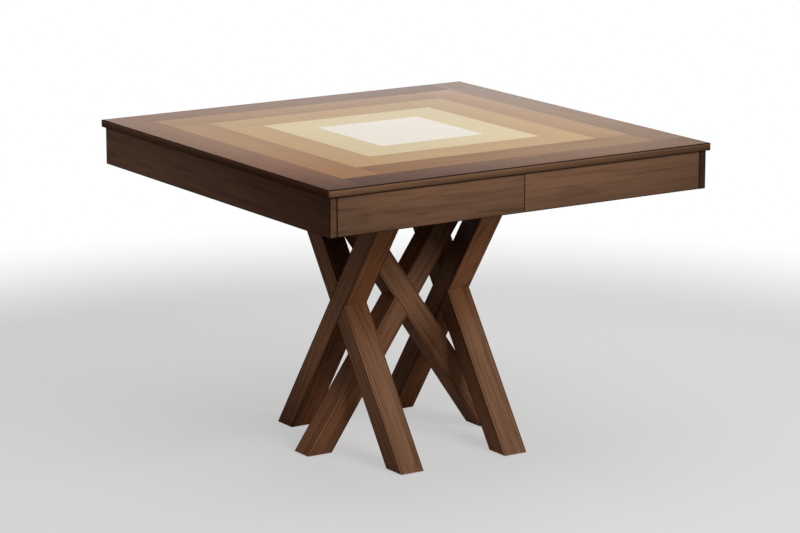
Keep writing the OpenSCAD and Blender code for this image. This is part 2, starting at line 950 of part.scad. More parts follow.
alignment_pins();
lock_plates();
lock_pivots();
lock_lever(-1);  // front_lock_lever
lock_lever(1);  // rear_lock_lever
lock_strikes();
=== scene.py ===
"""Square extending dining table: a walnut border, apron and crossed legs, and a top of nested
frames of lighter woods."""

import math

import bmesh
import bpy
from mathutils import Matrix, Vector


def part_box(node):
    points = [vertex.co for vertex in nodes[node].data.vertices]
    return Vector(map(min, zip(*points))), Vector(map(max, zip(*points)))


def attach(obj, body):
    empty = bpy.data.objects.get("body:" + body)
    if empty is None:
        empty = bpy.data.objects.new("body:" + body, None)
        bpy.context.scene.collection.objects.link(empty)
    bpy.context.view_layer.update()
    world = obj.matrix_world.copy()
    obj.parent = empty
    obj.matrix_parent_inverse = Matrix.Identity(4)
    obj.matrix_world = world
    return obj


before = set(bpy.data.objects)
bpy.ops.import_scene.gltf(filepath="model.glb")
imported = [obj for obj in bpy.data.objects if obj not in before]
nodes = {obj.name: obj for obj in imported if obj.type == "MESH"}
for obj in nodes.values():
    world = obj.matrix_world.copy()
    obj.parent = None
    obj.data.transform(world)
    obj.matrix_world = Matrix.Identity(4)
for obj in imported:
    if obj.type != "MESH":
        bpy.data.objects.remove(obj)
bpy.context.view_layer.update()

# Sizes read off the frame: half the top, half the nested frames, and the height of the top
TOP_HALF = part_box("right_end_border")[1].x
FRAMES_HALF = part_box("right_outer_frame_boards")[1].x
TOP_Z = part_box("right_end_border")[1].z

# The legs: width in the plane of their frame, reach along the leg from the crossing, height of
# the crossing, how far out the foot stands, and the run for each metre of rise
LEG_W = 0.057
LEG_REACH = 0.45
CROSS_Z = 0.366
FOOT_RUN = 0.254
LEG_LEAN = FOOT_RUN / CROSS_Z

# The locks' plates, and the screws near their corners with a cross recess
LOCK_PLATE_L = 0.050
SCREW_INSET = 0.0065
SCREW_R = 0.0036
SCREW_RISE = 0.00045
RECESS_REACH = 0.0020
RECESS_HALF = 0.00045
RECESS_DEPTH = 0.0003

# The camera that took the photograph
CAMERA_PLACE = (-4.21057, -6.49256, 2.17570)
CAMERA_TURN = -32.963
CAMERA_DOWN = 12.684
CAMERA_LENS = 145.5
CAMERA_SENSOR = 36.0
CAMERA_RANGE = 100.0

# The lamps: place, what they point at, width and height, and power
KEY_LAMP = ((0.6, -4.35, 3.1), (0.0, 0.0, 0.5), (2.4, 2.2), 125.0)
OVERHEAD_LAMP = ((0.1, 0.0, 2.3), (0.1, 0.0, 0.5), (2.4, 2.4), 29.0)
SHEEN_LAMP = ((0.8, 1.1, 0.9), (0.0, 0.0, 0.77), (2.0, 0.2), 8.4)
FILL_LAMP = ((2.4, 4.0, 0.9), (0.0, 0.0, 0.5), (2.4, 1.2), 55.0)

# Strength of the white dome where it lights matt surfaces
DOME_LIGHT = 0.074

# The floor: radius, drop below the feet, colour, the ring over which it fades to white, its own
# glow near the table, and how much of that glow the camera sees there
FLOOR_R = 30.0
FLOOR_DROP = 0.0005
FLOOR_COLOUR = (0.62, 0.62, 0.62, 1.0)
FLOOR_FADE = (1.5, 2.6)
FLOOR_GLOW = 0.97
FLOOR_GLOW_SHARE = 0.5

# Thin satin lacquer on the top, and the duller one on everything under it
TOP_LACQUER = 0.10
BASE_LACQUER = 0.05
LACQUER_ROUGHNESS = 0.24

# How squarely the top's rounding looks up where the lacquer begins and where it is full
LACQUER_REACH = (0.85, 1.0)

# Roughness of finished wood and of the plain wood under the top, how much rougher dark grain is,
# the depth of the pores, and how strongly they show in boards and in the nested frames
SATIN = 0.42
MATT = 0.6
GRAIN_ROUGHER = 0.08
PORE_DEPTH = 0.0002
BOARD_RELIEF = 0.5
FRAME_RELIEF = 0.3

# How squarely a face has to look along an axis to count as one that does: for boards, for the
# end grain of boards, and for legs
TURNED = (0.4, 0.6)
END_TURNED = (0.6, 0.9)
LEG_TURNED = (0.6, 0.75)

# Patterns of the wood: waves for each metre along the grain and across it, and a shift that
# keeps them apart. The heart's wander has waves along the log alone.
SWAY_WAVES = (5.0, 16.0, 3.7)
FIBRE_WAVES = (7.0, 330.0, 1.3)
STREAK_WAVES = (4.0, 95.0, 8.1)
CLOUD_WAVES = (1.6, 11.0, 5.9)
PORE_WAVES = (70.0, 1500.0, 2.9)
HEART_WAVES = 1.4

# Along the log from one board to the next, in metres and in years
BOARD_STEP = 7.31
BOARD_YEARS = 37.0

# How the patterns make up the wood: how far the heart and the rings stray for each unit of
# noise, how late a ring turns dark and where its darkness fades, the strength of the faintest
# and the strongest year, the noise at which a cloud starts, the shares of clouds and streaks,
# the noise at which a pore opens, and the height of the fibres beside the depth of a pore
HEART_SPAN = 4.0
RING_SWAY = 2.0
LATE_POWER = 2.4
LATE_END = 0.86
YEAR_STRENGTH = (0.35, 1.5)
CLOUD_START = 0.25
CLOUD_SHARE = 0.7
STREAK_SHARE = 2.4
PORE_START = (0.62, 0.72)
FIBRE_HEIGHT = 0.35

# How much painted light the nested frames have towards the left and right corners, and painted
# shade towards the near and far ones, for each metre
CORNER_PAINTED_LIGHT = 0.10

# Patterns of the metals and of nylon, in the same terms as those of the wood
BRUSH_WAVES = (60.0, 3200.0, 0.0)
BLOT_WAVES = (40.0, 40.0, 4.0)
MOTTLE_WAVES = (180.0, 180.0, 0.0)

# What those patterns do: the scratches' share in the metals' colour and its least, the blots'
# share in the roughness, the scratches' depth, and nylon's mottle in its roughness and its least
BRUSH_SHADE = (0.16, 0.92)
BLOT_ROUGHNESS = 0.18
SCRATCH_DEPTH = 0.0001
MOTTLE_ROUGHNESS = (0.1, 0.42)

# Colours of the woods, as (early wood, late wood)
WALNUT = ((0.226, 0.118, 0.068, 1.0), (0.100, 0.050, 0.030, 1.0))
GREY_WALNUT = ((0.226, 0.136, 0.082, 1.0), (0.100, 0.058, 0.036, 1.0))
LEG_WALNUT = ((0.325, 0.170, 0.092, 1.0), (0.160, 0.080, 0.043, 1.0))
MIDDLE_LEG_WALNUT = ((0.350, 0.172, 0.092, 1.0), (0.170, 0.080, 0.042, 1.0))
ORANGE_WOOD = ((0.390, 0.232, 0.116, 1.0), (0.250, 0.134, 0.060, 1.0))
TAN_WOOD = ((0.490, 0.320, 0.162, 1.0), (0.386, 0.239, 0.116, 1.0))
PALE_WOOD = ((0.640, 0.525, 0.325, 1.0), (0.570, 0.455, 0.260, 1.0))
WHITE_WOOD = ((0.755, 0.695, 0.610, 1.0), (0.705, 0.640, 0.555, 1.0))
POPLAR = ((0.500, 0.395, 0.265, 1.0), (0.370, 0.275, 0.170, 1.0))
PORE = (0.012, 0.007, 0.005, 1.0)
# Colour of the dark lines: painted shade beside the legs' arrises, and the dark lines along the top's
# upper rounding and the apron's arrises
DARK_LINE = (0.018, 0.009, 0.006, 1.0)

# Tints that multiply a wood's colour: heartwood, and painted shade towards the near corner, along
# the front and on the legs, and painted light on the legs' sides
HEARTWOOD = (0.80, 0.70, 0.78, 1.0)
NEAR_PAINTED_SHADE = (1.0, 0.78, 0.66, 1.0)
FRONT_PAINTED_SHADE = (0.93, 0.73, 0.60, 1.0)
LEG_SHADE = (1.0, 0.76, 0.58, 1.0)
LEG_SIDE_LIGHT = (1.10, 0.97, 0.93, 1.0)

# Where the tints begin and end: by x + y for the near painted shade, by a start and slopes along
# x and y for the front painted shade, by the swaying distance from the inner side of a frame's
# boards for heartwood, and along the leg from its crossing for the legs' reddened painted shade
NEAR_REACH = (-1.0, -0.4)
FRONT_START = -0.69
FRONT_SLOPES = (-1.68, -2.6)
HEARTWOOD_WAVES = (2.5, 9.0)
HEARTWOOD_SWAY = 0.08
HEARTWOOD_REACH = (0.060, 0.105)
SHADE_REDNESS_CHANGE = (-0.15, -0.05)

# Painted light and shade on the edge of the top: along its front and back from left to right,
# along its left and right ends from near to far, and from its lower to its upper side
LONG_EDGE_TONES = (0.87, 0.77, 0.74, 0.62, 0.48)
END_EDGE_TONES = (0.42, 0.52, 0.86)
EDGE_RISE_TONES = (0.6, 1.5)

# A dark line in the upper rounding of the top: how squarely the surface looks up where the line
# comes in and goes out, and its strength
ROUNDING_START = (0.5, 0.65)
ROUNDING_END = (0.98, 1.0)
ROUNDING_DARKNESS = 0.9

# The arrises of the legs: the tone of their painted highlight, which is a darker painted shade on
# the back legs, the distances over which it ends and over which the painted line of shade comes
# in and goes out, and the line's strength. For their arrises the legs count as endless.
ARRIS_HIGHLIGHT_TONE = 1.5
BACK_ARRIS_SHADE_TONE = 0.5
ENDLESS = 10.0
ARRIS_HIGHLIGHT_END = (0.0015, 0.0025)
LEG_LINE_START = (0.0020, 0.0030)
LEG_LINE_END = (0.0038, 0.0054)
LEG_LINE_SHADE = 0.8

# The dark line along the arrises of the apron, and how faint it is close to the parting
APRON_LINE_END = (0.0008, 0.0030)
APRON_LINE_DARKNESS = 0.95
PARTING_REACH = (0.003, 0.006)
PARTING_SHARE = 0.1

# Metals and nylon, and a dark steel that paints shade in the screws' recesses
STEEL = (0.56, 0.57, 0.59, 1.0)
ZINC = (0.66, 0.65, 0.62, 1.0)
RECESS_SHADE_STEEL = (0.09, 0.09, 0.10, 1.0)
NYLON = ((0.78, 0.75, 0.67, 1.0), (0.70, 0.67, 0.58, 1.0))

# First of the numbers that tell the boards of each kind apart
BORDER_SEED = 1
FRAME_SEED = 25
FRAME_SEED_STEP = 5
CENTRE_SEED = 50
APRON_SEED = 60
LEG_SEED = 80
HIDDEN_SEED = 100


# Small helpers for shader nodes
def new_group(name, inputs, outputs):
    """An empty node group with named sockets: (name, kind, default) in and (name, kind) out. Gives
    the group, the sockets that it reads and those that it fills."""
    group = bpy.data.node_groups.new(name, "ShaderNodeTree")
    for label, kind, value in inputs:
        socket = group.interface.new_socket(label, in_out="INPUT", socket_type=kind)
        if value is not None:
            socket.default_value = value
    for label, kind in outputs:
        group.interface.new_socket(label, in_out="OUTPUT", socket_type=kind)
    given = group.nodes.new("NodeGroupInput").outputs
    result = group.nodes.new("NodeGroupOutput").inputs
    return group, given, result


def wire(tree, source, target):
    """Joins a socket, or sets a plain value."""
    if isinstance(source, bpy.types.NodeSocket):
        tree.links.new(source, target)
    else:
        target.default_value = source


def maths(tree, operation, first, second=0.0, third=0.0, clamp=False):
    """The result of one operation on numbers."""
    node = tree.nodes.new("ShaderNodeMath")
    node.operation = operation
    node.use_clamp = clamp
    for source, target in zip((first, second, third), node.inputs):
        wire(tree, source, target)
    return node.outputs[0]


def vector_of(tree, x, y, z):
    """Three numbers put together as a vector."""
    node = tree.nodes.new("ShaderNodeCombineXYZ")
    for source, target in zip((x, y, z), node.inputs):
        wire(tree, source, target)
    return node.outputs[0]


def parts_of(tree, vector):
    """The three numbers of a vector."""
    node = tree.nodes.new("ShaderNodeSeparateXYZ")
    wire(tree, vector, node.inputs[0])
    return node.outputs


def noise(tree, vector, detail=2.0, roughness=0.5):
    """Smooth noise about 0.5, as its node."""
    node = tree.nodes.new("ShaderNodeTexNoise")
    wire(tree, vector, node.inputs["Vector"])
    node.inputs["Scale"].default_value = 1.0
    node.inputs["Detail"].default_value = detail
    node.inputs["Roughness"].default_value = roughness
    return node


def centred(tree, value):
    """A noise's value moved to lie about 0."""
    return maths(tree, "SUBTRACT", value, 0.5)


def ramp(tree, value, low, high, to_low=0.0, to_high=1.0, smooth=True):
    """Runs from to_low to to_high while the value runs from low to high."""
    node = tree.nodes.new("ShaderNodeMapRange")
    node.interpolation_type = "SMOOTHSTEP" if smooth else "LINEAR"
    for source, target in zip((value, low, high, to_low, to_high), node.inputs):
        wire(tree, source, target)
    return node.outputs[0]


def blend_colour(tree, share, first, second, kind="MIX"):
    """Two colours mixed by the second one's share."""
    node = tree.nodes.new("ShaderNodeMix")
    node.data_type = "RGBA"
    node.blend_type = kind
    wire(tree, share, node.inputs["Factor"])
    wire(tree, first, node.inputs["A"])
    wire(tree, second, node.inputs["B"])
    return node.outputs["Result"]


def multiplied(tree, colour, tint):
    """A colour multiplied by a tint."""
    return blend_colour(tree, 1.0, colour, tint, "MULTIPLY")


def tinted(tree, share, colour, tint):
    """A colour that takes on a tint by a share."""
    return blend_colour(tree, share, colour, multiplied(tree, colour, tint))


def toned(tree, colour, tone):
    """A colour made lighter or darker by one factor."""
    return multiplied(tree, colour, vector_of(tree, tone, tone, tone))


def stretched(tree, u, v, w, along, across, shift):
    """Coordinates for a noise that is drawn out along the grain."""
    return vector_of(
        tree,
        maths(tree, "MULTIPLY_ADD", u, along, shift),
        maths(tree, "MULTIPLY", v, across),
        maths(tree, "MULTIPLY", w, across),
    )


def add_group(tree, group, **values):
    """A group placed in a tree. Its sockets are named in small letters, with _ for a space."""
    node = tree.nodes.new("ShaderNodeGroup")
    node.node_tree = group
    for label, value in values.items():
        wire(tree, value, node.inputs[label.replace("_", " ").title()])
    return node


def object_place(tree):
    """Object coordinates, which are those of the whole table at rest."""
    return tree.nodes.new("ShaderNodeTexCoord").outputs["Object"]


def turned_place(tree, centre, turn):
    """Object coordinates seen from a board's own middle and direction."""
    node = tree.nodes.new("ShaderNodeMapping")
    node.vector_type = "TEXTURE"
    wire(tree, object_place(tree), node.inputs["Vector"])
    node.inputs["Location"].default_value = centre
    node.inputs["Rotation"].default_value = turn
    return node.outputs[0]


def facing(tree, axis):
    """How squarely a surface looks along one axis, either way: 0, 1 or 2."""
    normal = tree.nodes.new("ShaderNodeTexCoord").outputs["Normal"]
    return maths(tree, "ABSOLUTE", parts_of(tree, normal)[axis])


def tone_along(tree, place, low, high, tones):
    """A tone that runs through a few values, evenly spaced from the low end to the high one."""
    step = (high - low) / (len(tones) - 1)
    tone = tones[0]
    for i in range(len(tones) - 1):
        start = low + i * step
        rise = ramp(tree, place, start, start + step, 0.0, tones[i + 1] - tones[i], False)
        tone = maths(tree, "ADD", tone, rise)
    return tone


# Node groups
def timber_group():
    """Wood as it grows: rings round a wandering heart, and fibres and pores along X of the board.
    Board is the number that tells one board from another."""
    tree, given, result = new_group(
        "Timber",
        [
            ("Place", "NodeSocketVector", None),
            ("Board", "NodeSocketFloat", 0.0),
            ("Early Wood", "NodeSocketColor", None),
            ("Late Wood", "NodeSocketColor", None),
            ("Ring Width", "NodeSocketFloat", 0.006),
            ("Heart Depth", "NodeSocketFloat", 0.06),
            ("Heart Side", "NodeSocketFloat", 0.0),
            ("Wander", "NodeSocketFloat", 0.04),
            ("Rings", "NodeSocketFloat", 0.6),
            ("Fibres", "NodeSocketFloat", 0.3),
            ("Clouds", "NodeSocketFloat", 0.4),
            ("Pores", "NodeSocketFloat", 0.3),
        ],
        [("Colour", "NodeSocketColor"), ("Dark", "NodeSocketFloat"), ("Height", "NodeSocketFloat")],
    )
    x, v, w = parts_of(tree, given["Place"])
    u = maths(tree, "MULTIPLY_ADD", given["Board"], BOARD_STEP, x)
    # The heart wanders along the log, which opens the rings into arches
    log = vector_of(tree, maths(tree, "MULTIPLY", u, HEART_WAVES), given["Board"], 0.0)
    drift = parts_of(tree, noise(tree, log, 1.0).outputs["Color"])
    span = maths(tree, "MULTIPLY", given["Wander"], HEART_SPAN)
    side = maths(tree, "SUBTRACT", v, given["Heart Side"])
    side = maths(tree, "MULTIPLY_ADD", centred(tree, drift[0]), span, side)
    deep = maths(tree, "SUBTRACT", w, given["Heart Depth"])
    deep = maths(tree, "MULTIPLY_ADD", centred(tree, drift[1]), span, deep)
    side_squared = maths(tree, "MULTIPLY", side, side)
    deep_squared = maths(tree, "MULTIPLY", deep, deep)
    radius = maths(tree, "SQRT", maths(tree, "ADD", side_squared, deep_squared))
    # The rings are counted from the heart, and sway by up to about one ring
    sway = noise(tree, stretched(tree, u, v, w, *SWAY_WAVES), 3.0)
    count = maths(tree, "DIVIDE", radius, given["Ring Width"])
    count = maths(tree, "MULTIPLY_ADD", centred(tree, sway.outputs[0]), RING_SWAY, count)
    # Each ring darkens towards its end, and the next one begins light again
    ring = maths(tree, "FRACT", count)
    late = maths(tree, "POWER", ring, LATE_POWER)
    late = maths(tree, "MULTIPLY", late, ramp(tree, ring, LATE_END, 1.0, 1.0, 0.0))
    # Some years leave a fainter ring than others
    chance = tree.nodes.new("ShaderNodeTexWhiteNoise")
    chance.noise_dimensions = "1D"
    year = maths(tree, "MULTIPLY_ADD", given["Board"], BOARD_YEARS, maths(tree, "FLOOR", count))
    wire(tree, year, chance.inputs["W"])
    strength = ramp(tree, chance.outputs["Value"], 0.0, 1.0, *YEAR_STRENGTH, False)
    late = maths(tree, "MULTIPLY", late, strength)
    # Fine fibres, and broad clouds with streaks in them
    fibre = noise(tree, stretched(tree, u, v, w, *FIBRE_WAVES), 2.0, 0.6)
    streak = noise(tree, stretched(tree, u, v, w, *STREAK_WAVES), 2.0, 0.6)
    cloud = noise(tree, stretched(tree, u, v, w, *CLOUD_WAVES), 2.0)
    blotch = maths(tree, "SUBTRACT", cloud.outputs[0], CLOUD_START)
    blotch = maths(tree, "MULTIPLY", blotch, CLOUD_SHARE)
    blotch = maths(tree, "MULTIPLY_ADD", centred(tree, streak.outputs[0]), STREAK_SHARE, blotch)
    dark = maths(tree, "MULTIPLY", late, given["Rings"])
    dark = maths(tree, "MULTIPLY_ADD", centred(tree, fibre.outputs[0]), given["Fibres"], dark)
    dark = maths(tree, "MULTIPLY_ADD", blotch, given["Clouds"], dark)
    dark = maths(tree, "ADD", dark, 0.0, clamp=True)
    colour = blend_colour(tree, dark, given["Early Wood"], given["Late Wood"])
    # Open pores, dark and sunk between the fibres
    pore = noise(tree, stretched(tree, u, v, w, *PORE_WAVES), 1.0)
    hole = maths(tree, "MULTIPLY", ramp(tree, pore.outputs[0], *PORE_START), given["Pores"])
    colour = blend_colour(tree, hole, colour, PORE)
    height = maths(tree, "MULTIPLY", fibre.outputs[0], FIBRE_HEIGHT)
    height = maths(tree, "MULTIPLY_ADD", hole, -1.0, height)
    wire(tree, colour, result["Colour"])
    wire(tree, dark, result["Dark"])
    wire(tree, height, result["Height"])
    return tree


def arris_group():
    """How far a point on the surface of a board lies from the nearest edge of its face. The board
    is given by its lowest and highest corner."""
    tree, given, result = new_group(
        "Arris Distance",
        [
            ("Place", "NodeSocketVector", None),
            ("Low", "NodeSocketVector", None),
            ("High", "NodeSocketVector", None),
        ],
        [("Distance", "NodeSocketFloat")],
    )
    here = parts_of(tree, given["Place"])
    low = parts_of(tree, given["Low"])
    high = parts_of(tree, given["High"])
    inset = []
    for i in range(3):
        from_low = maths(tree, "SUBTRACT", here[i], low[i])
        from_high = maths(tree, "SUBTRACT", high[i], here[i])
        inset.append(maths(tree, "MINIMUM", from_low, from_high))
    # The smallest inset is that of the face itself, and the second one leads to its edge
    nearest = maths(tree, "MINIMUM", inset[0], inset[1])
    farther = maths(tree, "MAXIMUM", inset[0], inset[1])
    second = maths(tree, "MAXIMUM", nearest, maths(tree, "MINIMUM", farther, inset[2]))
    wire(tree, second, result["Distance"])
    return tree


def frame_boards_group():
    """Tells which board of a nested frame a point is on. Each board covers one corner of its frame
    and butts against the next, so the frame turns round the top like a pinwheel."""
    tree, given, result = new_group(
        "Frame Boards",
        [
            ("Place", "NodeSocketVector", None),
            ("Inner Half", "NodeSocketFloat", 0.2),
            ("Left Tone", "NodeSocketFloat", 1.0),
            ("Front Tone", "NodeSocketFloat", 1.0),
            ("Right Tone", "NodeSocketFloat", 1.0),
            ("Back Tone", "NodeSocketFloat", 1.0),
        ],
        [
            ("Board Place", "NodeSocketVector"),
            ("Board", "NodeSocketFloat"),
            ("Tone", "NodeSocketFloat"),
            ("Inset", "NodeSocketFloat"),
        ],
    )
    x, y, z = parts_of(tree, given["Place"])
    inner = given["Inner Half"]
    minus_inner = maths(tree, "MULTIPLY", inner, -1.0)
    past_left = maths(tree, "LESS_THAN", x, minus_inner)
    left = maths(tree, "MULTIPLY", past_left, maths(tree, "LESS_THAN", y, inner))
    past_right = maths(tree, "GREATER_THAN", x, inner)
    right = maths(tree, "MULTIPLY", past_right, maths(tree, "GREATER_THAN", y, minus_inner))
    ends = maths(tree, "ADD", left, right)
    not_ends = maths(tree, "SUBTRACT", 1.0, ends)
    back = maths(tree, "MULTIPLY", not_ends, maths(tree, "GREATER_THAN", y, 0.0))
    along = maths(tree, "MULTIPLY_ADD", ends, maths(tree, "SUBTRACT", y, x), x)
    across = maths(tree, "MULTIPLY_ADD", ends, maths(tree, "SUBTRACT", x, y), y)
    # The boards are numbered 0 in front, 1 on the left, 2 on the right and 3 at the back
    number = maths(tree, "MULTIPLY_ADD", right, 2.0, left)
    number = maths(tree, "MULTIPLY_ADD", back, 3.0, number)
    tone = given["Front Tone"]
    for share, own in ((left, "Left Tone"), (right, "Right Tone"), (back, "Back Tone")):
        change = maths(tree, "SUBTRACT", given[own], tone)
        tone = maths(tree, "MULTIPLY_ADD", share, change, tone)
    # Painted light towards the left and right corners, painted shade towards the near and far ones
    apart = maths(tree, "ABSOLUTE", maths(tree, "SUBTRACT", x, y))
    alike = maths(tree, "ABSOLUTE", maths(tree, "ADD", x, y))
    light = maths(tree, "MULTIPLY_ADD", maths(tree, "SUBTRACT", apart, alike), CORNER_PAINTED_LIGHT, 1.0)
    tone = maths(tree, "MULTIPLY", tone, light)
    outward = maths(tree, "MAXIMUM", maths(tree, "ABSOLUTE", x), maths(tree, "ABSOLUTE", y))
    wire(tree, vector_of(tree, along, across, z), result["Board Place"])
    wire(tree, number, result["Board"])
    wire(tree, tone, result["Tone"])
    wire(tree, maths(tree, "SUBTRACT", outward, inner), result["Inset"])
    return tree


TIMBER = timber_group()
ARRIS = arris_group()
FRAME_BOARDS = frame_boards_group()


# Materials
def new_material(name):
    """A material, its node tree and its shader."""
    material = bpy.data.materials.new(name)
    material.use_nodes = True
    tree = material.node_tree
    return material, tree, tree.nodes["Principled BSDF"]


def add_bump(tree, shader, height, strength, distance):
    """Relief in the surface. distance is how deep a height of 1 is."""
    bump = tree.nodes.new("ShaderNodeBump")
    bump.inputs["Strength"].default_value = strength
    bump.inputs["Distance"].default_value = distance
    wire(tree, height, bump.inputs["Height"])
    wire(tree, bump.outputs[0], shader.inputs["Normal"])


def finish_wood(tree, shader, colour, grain, gloss, relief, lacquer=BASE_LACQUER):
    """Satin lacquer: the gloss varies a little with the grain, and pores and fibres are just felt.
    All reflections are the lacquer's."""
    wire(tree, colour, shader.inputs["Base Color"])
    roughness = ramp(tree, grain.outputs["Dark"], 0.0, 1.0, gloss, gloss + GRAIN_ROUGHER, False)
    wire(tree, roughness, shader.inputs["Roughness"])
    shader.inputs["Specular IOR Level"].default_value = 0.0
    shader.inputs["Coat Weight"].default_value = lacquer
    if lacquer > BASE_LACQUER:
        # Rubbed thin where the top rounds over into its edge
        thinned = ramp(tree, facing(tree, 2), *LACQUER_REACH, 0.0, lacquer)
        wire(tree, thinned, shader.inputs["Coat Weight"])
    shader.inputs["Coat Roughness"].default_value = LACQUER_ROUGHNESS
    add_bump(tree, shader, grain.outputs["Height"], relief, PORE_DEPTH)


def near_painted_shade(tree, colour):
    """Painted shade: makes a colour redder and darker towards the near corner, save on the faces that
    look along Y.
    """
    x, y = parts_of(tree, object_place(tree))[:2]
    share = ramp(tree, maths(tree, "ADD", x, y), *NEAR_REACH, 1.0, 0.0)
    share = maths(tree, "MULTIPLY", share, ramp(tree, facing(tree, 1), *TURNED, 1.0, 0.0))
    return tinted(tree, share, colour, NEAR_PAINTED_SHADE)


def front_painted_shade(tree, colour):
    """Painted shade: makes a colour redder and darker along the front, more so towards the near
    corner.
    """
    x, y = parts_of(tree, object_place(tree))[:2]
    share = maths(tree, "MULTIPLY_ADD", y, FRONT_SLOPES[1], FRONT_START)
    share = maths(tree, "MULTIPLY_ADD", x, FRONT_SLOPES[0], share, clamp=True)
    return tinted(tree, share, colour, FRONT_PAINTED_SHADE)


def arris_distance(tree, place, low, high):
    """How far a point on a board lies from the nearest edge of its face."""
    return add_group(tree, ARRIS, place=place, low=low, high=high).outputs[0]


def board_material(name, woods, low, high, along, seed, tones=(1.0, 1.0), heart=(0.06, 0.0),
                   rings=0.3, clouds=0.3, fibres=0.3, pores=0.3, wander=0.02, gloss=SATIN,
                   end_tone=0.65, lacquer=BASE_LACQUER, finish=None):
    """Wood for a straight board, given by its lowest and highest corner. along is 0 or 1, for
    grain along X or Y. heart is how deep under the board's middle and how far beside it the
    tree's heart lies. The colour runs through its tones from the low end to the high one, and
    end_tone is the tone of the end grain. finish adds to the colour."""
    material, tree, shader = new_material(name)
    turn = (0.0, 0.0, 0.0) if along == 0 else (0.0, 0.0, math.pi / 2)
    place = turned_place(tree, (low + high) / 2, turn)
    grain = add_group(
        tree, TIMBER, place=place, board=float(seed), early_wood=woods[0], late_wood=woods[1],
        heart_depth=-heart[0], heart_side=heart[1], wander=wander,
        rings=rings, fibres=fibres, clouds=clouds, pores=pores,
    )
    here = parts_of(tree, object_place(tree))[along]
    tone = tone_along(tree, here, low[along], high[along], tones)
    colour = toned(tree, grain.outputs["Colour"], tone)
    colour = toned(tree, colour, ramp(tree, facing(tree, along), *END_TURNED, 1.0, end_tone))
    if finish:
        colour = finish(tree, colour)
    finish_wood(tree, shader, colour, grain, gloss, BOARD_RELIEF, lacquer)
    return material


def frame_material(name, woods, inner, seed, tones, rings, heartwood, near_shade_finish):
    """Wood for the boards of one nested frame, which share a tree but not their direction. inner
    is half of what lies within the frame. tones are those of the left, front, right and back
    boards, partly their own and partly painted light and shade."""
    material, tree, shader = new_material(name)
    split = add_group(
        tree, FRAME_BOARDS, place=object_place(tree), inner_half=inner,
        left_tone=tones[0], front_tone=tones[1], right_tone=tones[2], back_tone=tones[3],
    )
    board_place = split.outputs["Board Place"]
    shift = tree.nodes.new("ShaderNodeVectorMath")
    wire(tree, board_place, shift.inputs[0])
    shift.inputs[1].default_value = (0.0, 0.0, -TOP_Z)
    number = maths(tree, "ADD", split.outputs["Board"], float(seed))
    grain = add_group(
        tree, TIMBER, place=shift.outputs[0], board=number, early_wood=woods[0], late_wood=woods[1],
        ring_width=0.007, heart_depth=-0.09, heart_side=0.05, wander=0.03,
        rings=rings, fibres=0.3, clouds=0.3, pores=0.1,
    )
    colour = toned(tree, grain.outputs["Colour"], split.outputs["Tone"])
    # The inner side of the boards is cut from the darker heart of the tree
    waves = stretched(tree, *parts_of(tree, board_place), *HEARTWOOD_WAVES, float(seed))
    wave = noise(tree, waves, 2.0)
    inset = maths(tree, "MULTIPLY_ADD", wave.outputs[0], HEARTWOOD_SWAY, split.outputs["Inset"])
    share = ramp(tree, inset, *HEARTWOOD_REACH, heartwood, 0.0)
    # Painted shade towards the near corner, or along the front on the outer frame, is added last
    colour = near_shade_finish(tree, tinted(tree, share, colour, HEARTWOOD))
    finish_wood(tree, shader, colour, grain, SATIN, FRAME_RELIEF, TOP_LACQUER)
    return material


def leg_material(name, woods, cross, lean, flat, leg_t, seed, front_light_and_shade, side_light_and_shade, redness):
    """Walnut for a leaning leg, with its grain along the leg. cross is the middle of its crossing,
    and flat points across its frame. Tones of painted light and shade run up the leg, those of the
    faces that look along Y and those that look along X, and the sides take painted light. redness
    is how red the painted shade makes the faces that look along Y, under and over the crossing."""
    material, tree, shader = new_material(name)
    direction = lean.normalized()
    third = direction.cross(flat)
    turn = Matrix((direction, flat, third)).transposed().to_euler()
    place = turned_place(tree, cross, turn)
    grain = add_group(
        tree, TIMBER, place=place, board=float(seed), early_wood=woods[0], late_wood=woods[1],
        ring_width=0.011, heart_depth=-0.07, heart_side=0.03, wander=0.035,
        rings=0.5, fibres=0.4, clouds=0.8, pores=0.3,
    )
    along = parts_of(tree, place)[0]
    # Painted light and shade up the leg, on the faces that look along Y and on those along X, with
    # painted light on the sides
    front = tone_along(tree, along, -LEG_REACH, LEG_REACH, front_light_and_shade)
    side = tone_along(tree, along, -LEG_REACH, LEG_REACH, side_light_and_shade)
    sideways = ramp(tree, facing(tree, 0), *LEG_TURNED)
    tone = ramp(tree, sideways, 0.0, 1.0, front, side, False)
    colour = toned(tree, grain.outputs["Colour"], tone)
    colour = tinted(tree, sideways, colour, LEG_SIDE_LIGHT)
    # Painted shade, redder than the wood, on the faces that look along Y, under and over the crossing
    red = ramp(tree, along, *SHADE_REDNESS_CHANGE, *redness)
    red = ramp(tree, sideways, 0.0, 1.0, red, 0.0, False)
    colour = tinted(tree, red, colour, LEG_SHADE)
    # Painted highlight along the arrises, painted shade there on the back legs, and a painted dark
    # line of shade beside them
    arris_tone = BACK_ARRIS_SHADE_TONE if "back_leg" in name else ARRIS_HIGHLIGHT_TONE
    half = Vector((ENDLESS, leg_t / 2, LEG_W / 2))
    distance = arris_distance(tree, place, -half, half)
    colour = toned(tree, colour, ramp(tree, distance, *ARRIS_HIGHLIGHT_END, arris_tone, 1.0))
    line_start = ramp(tree, distance, *LEG_LINE_START, 0.0, LEG_LINE_SHADE)
    line_end = ramp(tree, distance, *LEG_LINE_END, 1.0, 0.0)
    line = maths(tree, "MULTIPLY", line_start, line_end)
    colour = blend_colour(tree, line, colour, DARK_LINE)
    finish_wood(tree, shader, colour, grain, SATIN, BOARD_RELIEF)
    return material


